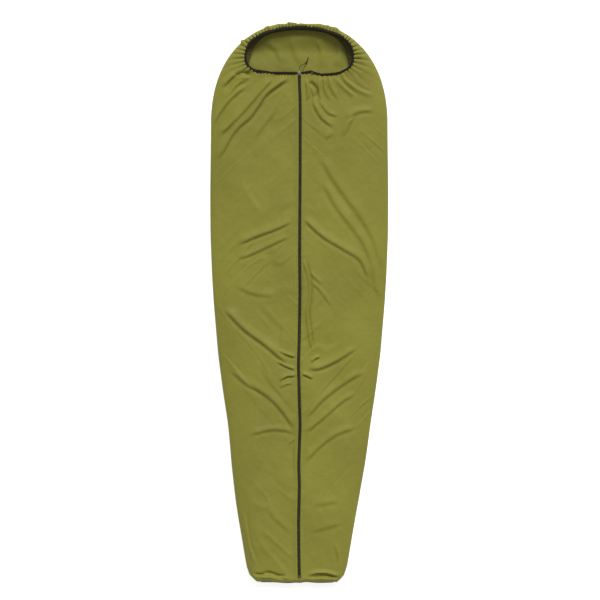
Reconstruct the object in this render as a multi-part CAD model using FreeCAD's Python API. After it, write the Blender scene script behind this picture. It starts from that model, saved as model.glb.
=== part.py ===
import FreeCAD, Part
import math
import os
from FreeCAD import Vector

# Bivy sack lying on its back, in millimetres. +Z up, +Y to the head, origin under the middle of its box.
os.makedirs("parts", exist_ok=True)

LENGTH = 2200.0
HEAD_END = LENGTH / 2
FOOT_END = -LENGTH / 2
TOP_Z = 50.0  # height of the front fabric
SEAM_Z = 20.0  # height of the side seams
FABRIC = 1.6  # wall standing for the thin stretch knit
GAP = 0.5  # clearance between panels that move apart

# half width of the sack at stations from foot to shoulder, then a superellipse round the hood
BODY_STATIONS = [(FOOT_END, 150), (-1085, 168), (-1072, 178), (-1010, 197), (-775, 240), (-476, 281),
                 (-200, 320), (114, 344), (440, 351)]
DOME_Y, DOME_HALF_WIDTH, DOME_POWER = 700.0, 348.0, 2.25
DOME_LENGTH = 402.0
DOME_STEPS = 12
WIDE = DOME_HALF_WIDTH + 60  # past the sack on every side, for the cutting boxes
LOW, HIGH = -5.0, 95.0
END_DROP = 12.0  # the front turns down this much at each end
END_RUN = 15.0
FRONT_FLAT, HOOD_FLAT, HOOD_FLAT_FROM, HOOD_FLAT_RUN = 0.56, 0.33, 780, 160  # flat's share of the width
BACK_INSET = 40.0  # how far the flat of the back stays inside the outline
BEZIER = 0.5523  # handle length that makes a quarter ellipse
UNDERCUT = 0.5  # the back is lofted this much lower, then cut to one true plane at the ground
# the curved sides are made in lengths, so that each is nearly convex
FRONT_CUTS = [-1080, -860, -640, -400, -150, 100, 350, 600, 780, 860, 935]
HOOD_CUTS = [935, 965, 995, 1020, 1042, 1062, HEAD_END]
BACK_CUTS = [FOOT_END + FABRIC, -1060, -860, -640, -400, -150, 100, 350, 600, 760, 870, 940, 1000, 1040, 1070,
             HEAD_END - FABRIC]

# rim of the hood opening: straight lip, then three arcs tangent to each other
LIP_Y, RIM_HALF_WIDTH, CROWN_Y = 903.0, 212.0, 1083.0
LIP_CORNER_R = 65.0
SIDE_ARC = math.radians(65)
HOOD_SEAM_Y = 935.0
BINDING_R, ELASTIC_R, CHANNEL_R = 4.5, 2.0, 2.2

# fold line of each front flap, from the foot of the zip to the lip
FOLD_FOOT = (20.0, -1080.0)
FOLD_LIP = (140.0, LIP_Y)
FOLD_CLEAR = 7.5  # the lip's binding stops this far from the fold, so that it clears the hood's when folded
HOOD_START = FOLD_LIP[0] + GAP  # where the hood's binding starts on the lip
LIP_START, LIP_END = 7.0, FOLD_LIP[0] - FOLD_CLEAR  # the lip's binding, from the slider to the fold

# zip
ZIP_HALF_SLOT = 6.0
TAPE_HALF, TAPE_CLEAR, TAPE_THICK = 16.0, 0.6, 0.8
COIL_HALF, COIL_HIGH = 3.2, 2.5
COIL_ROUND = 0.9
STOP_LONG, STOP_EXTRA = 2.4, 0.3  # top stops: length, and how far they stand above the coil
BOTTOM_STOP_HALF, BOTTOM_STOP_HIGH, BOTTOM_STOP_OVER = 3.5, 1.8, 3.0
ZIP_FOOT_Y = -1070.5
TAPE_FOOT_Y = ZIP_FOOT_Y + 0.3  # clears the bottom stop when the flaps fold
ZIP_TOP_Y = LIP_Y + BINDING_R
SLIDER_Y, SLIDER_LONG, SLIDER_HALF = 898.0, 13.0, 5.5
PLATE_TOP = (TOP_Z + 1.3, TOP_Z + 2.6)  # heights of the slider's two plates
PLATE_BOTTOM = (TOP_Z - 3.9, TOP_Z - 2.7)
FLANGE, FLANGE_Z = 1.3, TOP_Z - 1.2
NOSE_LONG, NOSE_IN = 3.0, 2.0  # the plates narrow towards the head
POST_HALF = 0.25
CROWN_HALF, CROWN_TOP, CROWN_SPAN = 1.2, TOP_Z + 6.4, (-5.0, 4.0)
CROWN_LEG, CROWN_ROOM = 2.0, 2.3  # legs along the sack, and room under the arch
TAB_AXIS_Z = TOP_Z + 3.75
TAB_AXIS_Y = SLIDER_Y + 1.0
TAB_HALF, TAB_THICK = 2.8, 1.4
TAB_ARM_IN, TAB_ARM_LONG = 1.5, 6.5
TAB_END_Y = 913.0
TAB_HOLE_R, TAB_HOLE_IN = 1.7, 3.2
CORD_R, KNOT_R = 1.5, 4.2
CORD_ROUTE = [(0, TAB_END_Y, TAB_AXIS_Z), (0, 923, TAB_AXIS_Z), (6, 933, 44), (15, 938, 30), (22, 943, 17),
              (29, 950, 7), (33, 960, 4), (36, 971, 3.9)]
KNOT_AT = (28.5, 949.4, 8.2)

# draft flap: (x, y) corners, and how far it hangs under the front
DRAFT_CORNERS = [(-27, LIP_Y - 8), (6, LIP_Y - 8), (-0.6, ZIP_FOOT_Y + 4), (-15, ZIP_FOOT_Y + 4)]
DRAFT_UNDER = 8.0
FOOT_BAR_HALF, FOOT_BAR_DEEP, FOOT_BAR_Z = 140.0, 4.0, (SEAM_Z + 2, SEAM_Z + 16)
EYELET_X, EYELET_R, EYELET_HOLE_R, EYELET_HIGH, EYELET_SUNK = 50.0, 3.4, 1.6, 1.2, 0.4


def box(x0, x1, y0, y1, z0, z1):
    return Part.makeBox(x1 - x0, y1 - y0, z1 - z0, Vector(x0, y0, z0))


def prism(points, z0=LOW, z1=HIGH):
    corners = [Vector(x, y, z0) for x, y in points]
    face = Part.Face(Part.makePolygon(corners + corners[:1]))
    return face.extrude(Vector(0, 0, z1 - z0))


def smooth_step(t):
    t = min(max(t, 0.0), 1.0)
    return t * t * (3 - 2 * t)


def outline():
    """Stations (y, half width) from the foot end to the head end."""
    stations = list(BODY_STATIONS)
    last = math.asin((HEAD_END - DOME_Y) / DOME_LENGTH)
    for step in range(DOME_STEPS + 1):
        along = math.sin(last * step / DOME_STEPS)
        width = DOME_HALF_WIDTH * (1 - along**DOME_POWER) ** (1 / DOME_POWER)
        stations.append((DOME_Y + DOME_LENGTH * along, width))
    return stations


def shrunk(stations, inset):
    """The same outline moved inwards along its normals."""
    inner = []
    for i, (y, w) in enumerate(stations):
        y0, w0 = stations[max(i - 1, 0)]
        y1, w1 = stations[min(i + 1, len(stations) - 1)]
        run = math.hypot(y1 - y0, w1 - w0)
        inner.append((y + inset * (w1 - w0) / run, w - inset * (y1 - y0) / run))
    inner[0] = (FOOT_END + inset, inner[0][1])
    inner[-1] = (HEAD_END - inset, inner[-1][1])
    return inner


def front_height(y):
    from_end = min(y - FOOT_END, HEAD_END - y)
    return TOP_Z - END_DROP * max(0.0, 1 - from_end / END_RUN)


def front_flat(y, w):
    """Half width of the flat of the front: broader round the hood opening."""
    return w * (FRONT_FLAT + HOOD_FLAT * smooth_step((y - HOOD_FLAT_FROM) / HOOD_FLAT_RUN))


def back_flat(w):
    """Half width of the flat of the back."""
    return max(w - BACK_INSET, w * 0.5)


def quarter(side, z, flat, flat_z):
    curve = Part.BezierCurve()
    curve.setPoles([
        Vector(side, 0, z),
        Vector(side, 0, z + BEZIER * (flat_z - z)),
        Vector(flat + (1 - BEZIER) * (side - flat), 0, flat_z),
        Vector(flat, 0, flat_z),
    ])
    return curve.toShape()


def section(y, w, flat, flat_z, seam_z):
    """Half of the sack's cross-section: seam plane, two quarter ellipses and a flat."""
    a, b = Vector(-w, 0, seam_z), Vector(w, 0, seam_z)
    edges = [
        quarter(-w, SEAM_Z, -flat, flat_z),
        Part.makeLine(Vector(-flat, 0, flat_z), Vector(flat, 0, flat_z)),
        quarter(w, SEAM_Z, flat, flat_z),
    ]
    if seam_z != SEAM_Z:
        edges.append(Part.makeLine(Vector(w, 0, SEAM_Z), b))
        edges.append(Part.makeLine(Vector(-w, 0, SEAM_Z), a))
    edges.append(Part.makeLine(b, a))
    wire = Part.Wire(Part.__sortEdges__(edges))
    wire.translate(Vector(0, y, 0))
    return wire


def half_shell(front):
    """Upper or lower fabric shell, open at the seam plane."""
    outer = outline()
    inner = shrunk(outer, FABRIC)
    solids = []
    for stations, wall in ((outer, 0.0), (inner, FABRIC)):
        wires = []
        for (y, w), (y_out, w_out) in zip(stations, outer):
            if front:
                flat, flat_z = front_flat(y_out, w_out), front_height(y_out) - wall
                flat = min(flat, w - 3)
                seam = SEAM_Z - (1.0 if wall else 0.0)
            else:
                flat, flat_z = back_flat(w_out), wall or -UNDERCUT
                seam = SEAM_Z + (1.0 if wall else 0.0)
            wires.append(section(y, w, flat, flat_z, seam))
        solids.append(Part.makeLoft(wires, True, True))
    return solids[0].cut(solids[1])


def rim_arcs():
    """Half rim as edges from the lip's corner to the crown, all tangent."""
    reach = math.pi / 2 - SIDE_ARC
    corner_x = RIM_HALF_WIDTH - LIP_CORNER_R
    wide_y = LIP_Y + LIP_CORNER_R
    # side radius and crown radius that close the half outline on the centre line
    a11, a12 = 1 - math.cos(SIDE_ARC), math.sin(reach)
    a21, a22 = math.sin(SIDE_ARC), 1 - math.cos(reach)
    rise = CROWN_Y - wide_y
    det = a11 * a22 - a12 * a21
    side_r = (RIM_HALF_WIDTH * a22 - a12 * rise) / det
    crown_r = (a11 * rise - a21 * RIM_HALF_WIDTH) / det
    edges = []
    for cx, cy, r, start, turn in (
        (corner_x, wide_y, LIP_CORNER_R, -math.pi / 2, math.pi / 2),
        (RIM_HALF_WIDTH - side_r, wide_y, side_r, 0.0, SIDE_ARC),
        (0.0, CROWN_Y - crown_r, crown_r, SIDE_ARC, reach),
    ):
        points = [Vector(cx + r * math.cos(start + turn * k / 2),
                         cy + r * math.sin(start + turn * k / 2), 0) for k in range(3)]
        edges.append(Part.Arc(*points).toShape())
    return edges


def mirrored(shape):
    return shape.mirror(Vector(0, 0, 0), Vector(1, 0, 0))


def rim_path(lip_start):
    """Rim from (lip_start, lip) round the crown to the other side."""
    half = rim_arcs()
    corner = Vector(RIM_HALF_WIDTH - LIP_CORNER_R, LIP_Y, 0)
    edges = [Part.makeLine(Vector(lip_start, LIP_Y, 0), corner)] + half
    edges += [mirrored(e) for e in reversed(edges)]
    path = Part.Wire(Part.__sortEdges__(edges))
    path.translate(Vector(0, 0, TOP_Z - FABRIC / 2))
    return path


def tube(path, radius, start, direction):
    face = Part.Face(Part.Wire(Part.makeCircle(radius, start, direction)))
    return path.makePipe(face)


def rim_piece(radius, lip_start):
    path = rim_path(lip_start)
    start = Vector(lip_start, LIP_Y, TOP_Z - FABRIC / 2)
    return tube(path, radius, start, Vector(1, 0, 0))


def lip_piece(radius, x0, x1):
    return Part.makeCylinder(radius, x1 - x0, Vector(x0, LIP_Y, TOP_Z - FABRIC / 2), Vector(1, 0, 0))


def fold_x(y):
    share = (y - FOLD_FOOT[1]) / (FOLD_LIP[1] - FOLD_FOOT[1])
    return FOLD_FOOT[0] + share * (FOLD_LIP[0] - FOLD_FOOT[0])


def lengths(shape, cuts):
    """The solids of a shape, cut across at each place along the sack, on both sides of the centre."""
    out = []
    for y0, y1 in zip(cuts, cuts[1:]):
        for x0, x1 in ((-WIDE, 0), (0, WIDE)):
            out += shape.common(box(x0, x1, y0, y1, LOW, HIGH)).Solids
    return out


def flat_zone(flat_of):
    """Prism over the flat of the front or the back."""
    side = [(flat_of(y, w), y) for y, w in outline()]
    return prism(side + [(-x, y) for x, y in reversed(side)])


def back_solids():
    """Back panel: the flat, the end walls and the turned-up sides."""
    back = half_shell(False).cut(box(-WIDE, WIDE, FOOT_END + LOW, HEAD_END - LOW, LOW, 0))
    middle = box(-WIDE, WIDE, BACK_CUTS[0], BACK_CUTS[-1], LOW, HIGH)
    zone = flat_zone(lambda y, w: back_flat(w))
    return (back.cut(middle).Solids + back.common(middle).common(zone).Solids
            + lengths(back.cut(zone), BACK_CUTS))


def outer_solids(outer):
    """Outer front panel: the flat strip beside the fold and the curved side in lengths."""
    zone = flat_zone(front_flat)
    below = box(0, WIDE, FOOT_END, FRONT_CUTS[-3], LOW, HIGH)
    shoulder = outer.cut(below)
    body = outer.common(below)
    return body.common(zone).Solids + lengths(body.cut(zone), FRONT_CUTS[:-2]) + lengths(
        shoulder, FRONT_CUTS[-3:])


def front_pieces():
    """Front fabric, right half (x > 0), cut into flap, outer panel, hood and foot."""
    shell = half_shell(True)
    rim = rim_path(0.0)
    hole = Part.Face(Part.Wire(Part.__sortEdges__(rim.Edges)))
    hole.translate(Vector(0, 0, SEAM_Z - TOP_Z))
    front = shell.cut(hole.extrude(Vector(0, 0, HIGH)))
    front = front.cut(rim_piece(BINDING_R, HOOD_START))
    foot_y, lip_y = FOLD_FOOT[1], FOLD_LIP[1]
    hem_y = lip_y - BINDING_R + FABRIC / 2  # inside the binding's wrap
    flap_zone = prism([
        (ZIP_HALF_SLOT, foot_y + GAP / 2), (fold_x(foot_y) - GAP / 2, foot_y + GAP / 2),
        (fold_x(hem_y) - GAP / 2, hem_y), (ZIP_HALF_SLOT, hem_y),
    ])
    outer_zone = prism([
        (fold_x(foot_y) + GAP / 2, foot_y), (WIDE, foot_y), (WIDE, HOOD_SEAM_Y),
        (fold_x(lip_y) + GAP / 2, HOOD_SEAM_Y), (fold_x(lip_y) + GAP / 2, lip_y),
    ])
    flap = front.common(flap_zone).cut(lip_piece(BINDING_R, LIP_START, LIP_END))
    return {
        "flap": flap,
        "outer": front.common(outer_zone),
        "hood": front.common(box(-WIDE, WIDE, HOOD_SEAM_Y, HEAD_END - LOW, LOW, HIGH)),
        "foot": front.common(box(-WIDE, WIDE, FOOT_END + LOW, foot_y, LOW, HIGH)),
    }


def tape():
    z0, z1 = TOP_Z - FABRIC - TAPE_THICK, TOP_Z - FABRIC
    shoulder_y = LIP_Y - BINDING_R - 0.1  # narrower above this, beside the lip's binding
    return box(TAPE_CLEAR, TAPE_HALF, TAPE_FOOT_Y, shoulder_y, z0, z1).fuse(
        box(TAPE_CLEAR, LIP_START - GAP, shoulder_y, ZIP_TOP_Y, z0, z1)).removeSplitter()


def coil():
    """Bar of the coil's outer shape, rounded on top."""
    z0 = TOP_Z - FABRIC
    bar = box(TAPE_CLEAR, COIL_HALF, ZIP_FOOT_Y + GAP, ZIP_TOP_Y - STOP_LONG - 0.1, z0, z0 + COIL_HIGH)
    edges = [e for e in bar.Edges if e.BoundBox.ZMin > z0 + 1 and e.BoundBox.YLength > 100]
    return bar.makeFillet(COIL_ROUND, edges)


def top_stop():
    z0 = TOP_Z - FABRIC
    return box(TAPE_CLEAR, COIL_HALF + STOP_EXTRA, ZIP_TOP_Y - STOP_LONG, ZIP_TOP_Y, z0,
               z0 + COIL_HIGH + STOP_EXTRA)


def draft_flap():
    """Inner strip under the zip; it reaches past the centre line at the lip, less towards the foot."""
    return prism(DRAFT_CORNERS, TOP_Z - DRAFT_UNDER, TOP_Z - DRAFT_UNDER + FABRIC / 2)


def slider_body():
    y0, y1 = SLIDER_Y - SLIDER_LONG / 2, SLIDER_Y + SLIDER_LONG / 2
    half = SLIDER_HALF
    nose_y = y1 - NOSE_LONG
    plan = [(-half, y0), (half, y0), (half, nose_y), (half - NOSE_IN, y1), (NOSE_IN - half, y1), (-half, nose_y)]
    flange = box(half - FLANGE, half, y0, nose_y, FLANGE_Z, PLATE_TOP[0])
    post = box(-POST_HALF, POST_HALF, y1 - 2 * NOSE_LONG, y1 - NOSE_IN, PLATE_BOTTOM[1], PLATE_TOP[0])
    return prism(plan, *PLATE_TOP).fuse(
        [prism(plan, *PLATE_BOTTOM), post, flange, mirrored(flange)]).removeSplitter()


def slider_crown():
    """Arch on the slider that holds the tab's bar."""
    y0, y1 = TAB_AXIS_Y + CROWN_SPAN[0], TAB_AXIS_Y + CROWN_SPAN[1]
    z0 = PLATE_TOP[1]
    arch = box(-CROWN_HALF, CROWN_HALF, y0, y1, z0, CROWN_TOP)
    edges = [e for e in arch.Edges if e.BoundBox.ZMin > CROWN_TOP - 0.1 and e.BoundBox.XLength > 1]
    arch = arch.makeFillet(CROWN_HALF, edges)
    return arch.cut(box(-WIDE, WIDE, y0 + CROWN_LEG, y1 - CROWN_LEG, LOW, z0 + CROWN_ROOM))


def pull_tab():
    """Tab with a round bar under the arch, two arms and a plate with the cord's hole."""
    z0, z1 = TAB_AXIS_Z - TAB_THICK / 2, TAB_AXIS_Z + TAB_THICK / 2
    bar = Part.makeCylinder(TAB_THICK / 2, 2 * TAB_HALF, Vector(-TAB_HALF, TAB_AXIS_Y, TAB_AXIS_Z),
                            Vector(1, 0, 0))
    arm_end = TAB_AXIS_Y + TAB_ARM_LONG
    arm = box(TAB_ARM_IN, TAB_HALF, TAB_AXIS_Y, arm_end, z0, z1)
    plate = box(-TAB_HALF, TAB_HALF, arm_end - GAP, TAB_END_Y, z0, z1)
    hole = Part.makeCylinder(TAB_HOLE_R, TAB_THICK, Vector(0, TAB_END_Y - TAB_HOLE_IN, z0))
    return bar.fuse([arm, mirrored(arm), plate]).removeSplitter().cut(hole)


def rounded_path(points):
    """Straight runs joined by arcs tangent to both, each as large as its runs allow."""
    pts = [Vector(*p) for p in points]
    edges, at = [], pts[0]
    for before, corner, after in zip(pts, pts[1:], pts[2:]):
        back, on = (before - corner), (after - corner)
        turn = math.pi - back.getAngle(on)
        reach = 0.45 * min(back.Length, on.Length)
        radius = reach / math.tan(turn / 2)
        print("cord radius", round(radius, 1))
        back.normalize()
        on.normalize()
        start, end = corner + back * reach, corner + on * reach
        bisector = back + on
        bisector.normalize()
        to_centre = math.hypot(radius, reach)
        middle = corner + bisector * (to_centre - radius)
        edges.append(Part.LineSegment(at, start).toShape())
        edges.append(Part.Arc(start, middle, end).toShape())
        at = end
    edges.append(Part.LineSegment(at, pts[-1]).toShape())
    return Part.Wire(edges)


def pull_cord():
    path = rounded_path(CORD_ROUTE)
    first = Vector(*CORD_ROUTE[1]) - Vector(*CORD_ROUTE[0])
    cord = tube(path, CORD_R, Vector(*CORD_ROUTE[0]), first)
    print("cord length", round(path.Length, 1), "volume ratio",
          round(cord.Volume / (math.pi * CORD_R**2 * path.Length), 4))
    return cord


def knot():
    return Part.makeSphere(KNOT_R, Vector(*KNOT_AT))


def foot_binding():
    """Bar of bound fabric on the foot seam."""
    return box(-FOOT_BAR_HALF, FOOT_BAR_HALF, FOOT_END, FOOT_END + FOOT_BAR_DEEP, *FOOT_BAR_Z)


def eyelet():
    """Flat ring on the right half of the lip binding, where the elastic's ends come out."""
    base = Vector(EYELET_X, LIP_Y, TOP_Z - FABRIC / 2 + BINDING_R - EYELET_SUNK)
    ring = Part.makeCylinder(EYELET_R, EYELET_HIGH, base).cut(
        Part.makeCylinder(EYELET_HOLE_R, EYELET_HIGH, base))
    return ring.cut(lip_piece(BINDING_R, LIP_START, LIP_END))


def bottom_stop():
    """Bar across the foot of the zip, laid on the foot panel."""
    return box(-BOTTOM_STOP_HALF, BOTTOM_STOP_HALF, FOLD_FOOT[1] - BOTTOM_STOP_OVER, ZIP_FOOT_Y, TOP_Z,
               TOP_Z + BOTTOM_STOP_HIGH)


def save(node, shape):
    if shape.ShapeType == "Compound" and len(shape.Solids) == 1:
        shape = shape.Solids[0]
    if not shape.isValid() or not shape.Solids:
        print("check", node, shape.isValid(), len(shape.Solids))
    shape.exportStep("parts/" + node + ".step")
    print(node, len(shape.Solids), round(shape.Volume / 1000, 2), "cm3")


def main():
    pieces = front_pieces()
    foot_bar = foot_binding()
    channel = rim_piece(CHANNEL_R, HOOD_START)
    save("back_panel", Part.makeCompound(back_solids()))
    save("hood_panel", Part.makeCompound(lengths(pieces["hood"], HOOD_CUTS)))
    foot_cuts = [FOOT_END, FOOT_END + FABRIC, FOLD_FOOT[1]]
    save("foot_panel", Part.makeCompound(lengths(pieces["foot"].cut(foot_bar), foot_cuts)))
    save("foot_seam_binding", foot_bar)
    save("hood_binding", rim_piece(BINDING_R, HOOD_START).cut(channel))
    save("hood_elastic", rim_piece(ELASTIC_R, HOOD_START))
    save("zip_bottom_stop", bottom_stop())
    save("draft_flap", draft_flap())
    save("elastic_eyelet", eyelet())

    right = {
        "front_panel": Part.makeCompound(outer_solids(pieces["outer"])),
        "zip_flap": pieces["flap"],
        "zip_tape": tape(),
        "zip_coil": coil(),
        "zip_top_stop": top_stop(),
        "lip_binding": lip_piece(BINDING_R, LIP_START, LIP_END).cut(
            lip_piece(CHANNEL_R, LIP_START, LIP_END)),
        "lip_elastic": lip_piece(ELASTIC_R, LIP_START, LIP_END),
    }
    for name, shape in right.items():
        save(name + "_right", shape)
        save(name + "_left", mirrored(shape))

    save("slider_body", slider_body())
    save("slider_crown", slider_crown())
    save("pull_tab", pull_tab())
    save("pull_cord", pull_cord())
    save("pull_cord_knot", knot())


main()
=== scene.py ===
import bpy
import math
import bmesh
import numpy as np
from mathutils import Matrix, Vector
from mathutils.kdtree import KDTree


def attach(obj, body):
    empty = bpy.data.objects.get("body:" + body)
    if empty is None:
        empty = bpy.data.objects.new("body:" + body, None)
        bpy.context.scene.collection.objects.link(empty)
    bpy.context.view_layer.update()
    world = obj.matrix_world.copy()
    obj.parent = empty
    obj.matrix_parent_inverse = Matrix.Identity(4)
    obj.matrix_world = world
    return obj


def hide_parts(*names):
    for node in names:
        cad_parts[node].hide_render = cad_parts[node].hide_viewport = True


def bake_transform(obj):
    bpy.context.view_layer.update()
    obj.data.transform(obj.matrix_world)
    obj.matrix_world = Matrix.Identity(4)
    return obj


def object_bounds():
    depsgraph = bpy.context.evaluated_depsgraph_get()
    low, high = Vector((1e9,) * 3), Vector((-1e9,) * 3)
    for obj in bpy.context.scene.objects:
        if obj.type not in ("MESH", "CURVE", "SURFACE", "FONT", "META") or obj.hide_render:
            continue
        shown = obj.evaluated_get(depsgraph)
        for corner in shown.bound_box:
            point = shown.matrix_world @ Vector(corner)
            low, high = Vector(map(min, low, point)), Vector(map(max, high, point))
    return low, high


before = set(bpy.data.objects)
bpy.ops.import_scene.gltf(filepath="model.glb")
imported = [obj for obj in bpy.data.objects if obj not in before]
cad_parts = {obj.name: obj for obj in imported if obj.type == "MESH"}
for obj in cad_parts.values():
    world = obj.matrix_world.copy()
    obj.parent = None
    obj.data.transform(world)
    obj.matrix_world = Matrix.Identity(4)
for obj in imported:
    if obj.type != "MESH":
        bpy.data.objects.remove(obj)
cadBox = [list(corner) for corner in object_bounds()]
mm = 0.001
lengthMm = 1000 * (cadBox[1][1] - cadBox[0][1])
headEnd = lengthMm / 2
footEnd = -headEnd
print("frame loaded, sack is", round(lengthMm), "mm long")

# the sack's plan and height, in millimetres
sack = {
    "bodyStations": [(footEnd, 157), (-1092, 167), (-1072, 185), (-1040, 197), (-1010, 202), (-920, 217),
                     (-775, 242), (-633, 263), (-476, 281), (-338, 302), (-200, 320), (0, 337), (114, 344),
                     (270, 350), (440, 351), (590, 349), (700, 348)],
    "domeY": 700.0, "domeHalfWidth": 348.0, "domeLength": 406.0, "domePower": 2.25,
    "topZ": 50.0, "seamZ": 20.0,
    # how far in from the outline the front goes on rising, by place along the sack
    "rollY": [footEnd, -1085, -1060, -1000, -775, -400, 100, 700, 880, 940, 1000, 1050, 1080, headEnd],
    "roll": [14, 20, 45, 80, 105, 130, 150, 150, 105, 62, 38, 24, 15, 11],
    "backRoll": 42.0,
    "cloth": 0.7,  # shown thickness of the knit
    # the foot leans to one side, and its seam is uneven
    "lean": 9.5, "leanFrom": -450.0, "leanRun": 420.0, "footWave": 5.0, "footWaveFrom": -1040.0,
    # strength of the creases, the waves, the faint creases and the gathers round the rim
    "creaseGain": 1.15, "steepShare": 0.62, "gentleShare": 0.6, "hoodGain": 0.6,
    "waveGain": 1.7, "fineCrease": 2.0, "gather": 10.0,
    "swell": 12.0,  # the most that a fold stands over the level cloth
}
rim = {"lipY": 903.0, "halfWidth": 212.0, "cornerR": 65.0, "crownY": 1083.0, "sideTurn": 65.0,
       # the lip's wander up and down, by place across the sack, and the stretch of cloth that goes with it
       "wanderFrom": 780.0, "wanderAbove": 60.0,
       "wanderX": [-206, -155, -110, -40, 12, 45, 62, 86, 115, 140, 176, 206],
       "wander": [0, 8, 1, 0, 0, 6, 0, -7, -5, -2, 3, 0]}
fold = {"footX": 20.0, "footY": -1080.0, "lipX": 140.0, "width": 18.0}
zipSizes = {"slot": 6.0, "footY": -1071.0, "topY": 904.5, "pitch": 2.0, "barbLong": 2.7,
            "barbThick": 1.1, "barbGap": 0.25, "coilZ": 50.1, "tapeZ": 48.2,
            # the tape's lengthways lines, how far its outer edge hangs, and its thickness
            "tapeLines": [0.7, 2.2, 4.5, 7.5, 15.0], "tapeHang": 2.2, "tapeThick": 0.6,
            # the stitches' line, their pitch, length and thickness, and the steps of paths along the zip
            "stitchLine": 11.5, "stitch": (3.2, 2.3, 0.5), "step": 6.0, "stitchStep": 8.0,
            # how the zip wanders from side to side along the sack
            "wanderY": [-1071, -1010, -860, -720, -640, -480, -380, -240, -150, 50, 200, 500, 700, 800, 870],
            "wander": [0, -1.5, -3, 0.5, -2.5, 3, 0, -3.5, -0.5, 2.5, 1, 3, 3.5, 3, 0]}


def smoothStep(t):
    t = np.clip(t, 0.0, 1.0)
    return t * t * (3 - 2 * t)


def lattice(seed):
    return np.random.RandomState(seed).rand(64, 64) * 2 - 1


# Smooth seeded noise from -1 to 1.
def softNoise(x, y, scaleX, scaleY, seed):
    grid = lattice(seed)
    u, v = np.asarray(x) / scaleX + 31.7, np.asarray(y) / scaleY + 31.3
    iu, iv = np.floor(u).astype(int), np.floor(v).astype(int)
    fu, fv = smoothStep(u - iu), smoothStep(v - iv)
    a, b = grid[iu % 64, iv % 64], grid[(iu + 1) % 64, iv % 64]
    c, d = grid[iu % 64, (iv + 1) % 64], grid[(iu + 1) % 64, (iv + 1) % 64]
    return (a * (1 - fu) + b * fu) * (1 - fv) + (c * (1 - fu) + d * fu) * fv


# outline of the sack seen from above: a table of half widths, smoothed, then a superellipse
outlineY = np.arange(footEnd, headEnd + 0.5, 1.0)


def makeHalfWidths():
    ys, ws = zip(*sack["bodyStations"])
    body = np.interp(outlineY, ys, ws)
    kernel = np.exp(-np.linspace(-2.5, 2.5, 121) ** 2)
    smooth = np.convolve(np.pad(body, 60, mode="edge"), kernel / kernel.sum(), mode="valid")
    keep = smoothStep((outlineY - footEnd - 25) / 60)
    body = smooth * keep + body * (1 - keep)
    along = np.clip((outlineY - sack["domeY"]) / sack["domeLength"], 0, 1)
    dome = sack["domeHalfWidth"] * (1 - along ** sack["domePower"]) ** (1 / sack["domePower"])
    join = smoothStep((outlineY - sack["domeY"]) / 60)
    return body * (1 - join) + dome * join


halfWidths = makeHalfWidths()


def halfWidth(y):
    return np.interp(y, outlineY, halfWidths)


def treeOf(points):
    tree = KDTree(len(points))
    for i, (x, y) in enumerate(points):
        tree.insert((x, y, 0), i)
    tree.balance()
    return tree


def nearest(tree, x, y):
    found = [tree.find((a, b, 0))[1:] for a, b in zip(x.ravel(), y.ravel())]
    index = np.array([f[0] for f in found]).reshape(x.shape)
    distance = np.array([f[1] for f in found]).reshape(x.shape)
    return index, distance


def outlinePoints():
    side = np.column_stack([halfWidths, outlineY])
    foot = np.arange(-halfWidths[0], halfWidths[0], 2.0)
    head = np.arange(-halfWidths[-1], halfWidths[-1], 2.0)
    return np.vstack([
        side, side * [-1, 1],
        np.column_stack([foot, np.full(len(foot), footEnd)]),
        np.column_stack([head, np.full(len(head), headEnd)]),
    ])


edgePoints = outlinePoints()
edgeTree = treeOf(edgePoints)


# Right half of the rim, from the middle of the lip to the crown, even steps.
def rimHalf(count):
    turn = math.radians(rim["sideTurn"])
    reach = math.pi / 2 - turn
    wideY = rim["lipY"] + rim["cornerR"]
    a11, a12 = 1 - math.cos(turn), math.sin(reach)
    a21, a22 = math.sin(turn), 1 - math.cos(reach)
    rise = rim["crownY"] - wideY
    det = a11 * a22 - a12 * a21
    sideR = (rim["halfWidth"] * a22 - a12 * rise) / det
    crownR = (a11 * rise - a21 * rim["halfWidth"]) / det
    cornerX = rim["halfWidth"] - rim["cornerR"]
    dense = [np.column_stack([np.linspace(0, cornerX, 200), np.full(200, rim["lipY"])])]
    for cx, cy, r, start, sweep in (
        (cornerX, wideY, rim["cornerR"], -math.pi / 2, math.pi / 2),
        (rim["halfWidth"] - sideR, wideY, sideR, 0.0, turn),
        (0.0, rim["crownY"] - crownR, crownR, turn, reach),
    ):
        a = start + sweep * np.linspace(0.005, 1, 200)
        dense.append(np.column_stack([cx + r * np.cos(a), cy + r * np.sin(a)]))
    dense = np.vstack(dense)
    along = np.concatenate([[0], np.cumsum(np.hypot(*np.diff(dense, axis=0).T))])
    even = np.linspace(0, along[-1], count)
    return np.column_stack([np.interp(even, along, dense[:, k]) for k in (0, 1)]), even


# moves points near the lip up or down with its wander
def lipWarp(x, y):
    below = smoothStep((y - rim["wanderFrom"]) / (rim["lipY"] - rim["wanderFrom"]))
    above = 1 - smoothStep((y - rim["lipY"]) / rim["wanderAbove"])
    share = np.where(y <= rim["lipY"], below, above)
    return y + share * np.interp(x, rim["wanderX"], rim["wander"])


rimRight, rimAlong = rimHalf(600)
# the whole rim, anticlockwise from the middle of the lip
rimPlain = np.vstack([rimRight, (rimRight * [-1, 1])[::-1][1:]])
rimAllAlong = np.concatenate([rimAlong, 2 * rimAlong[-1] - rimAlong[::-1][1:]])
rimAll = np.column_stack([rimPlain[:, 0], lipWarp(rimPlain[:, 0], rimPlain[:, 1])])
rimTree = treeOf(rimAll)

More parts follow.
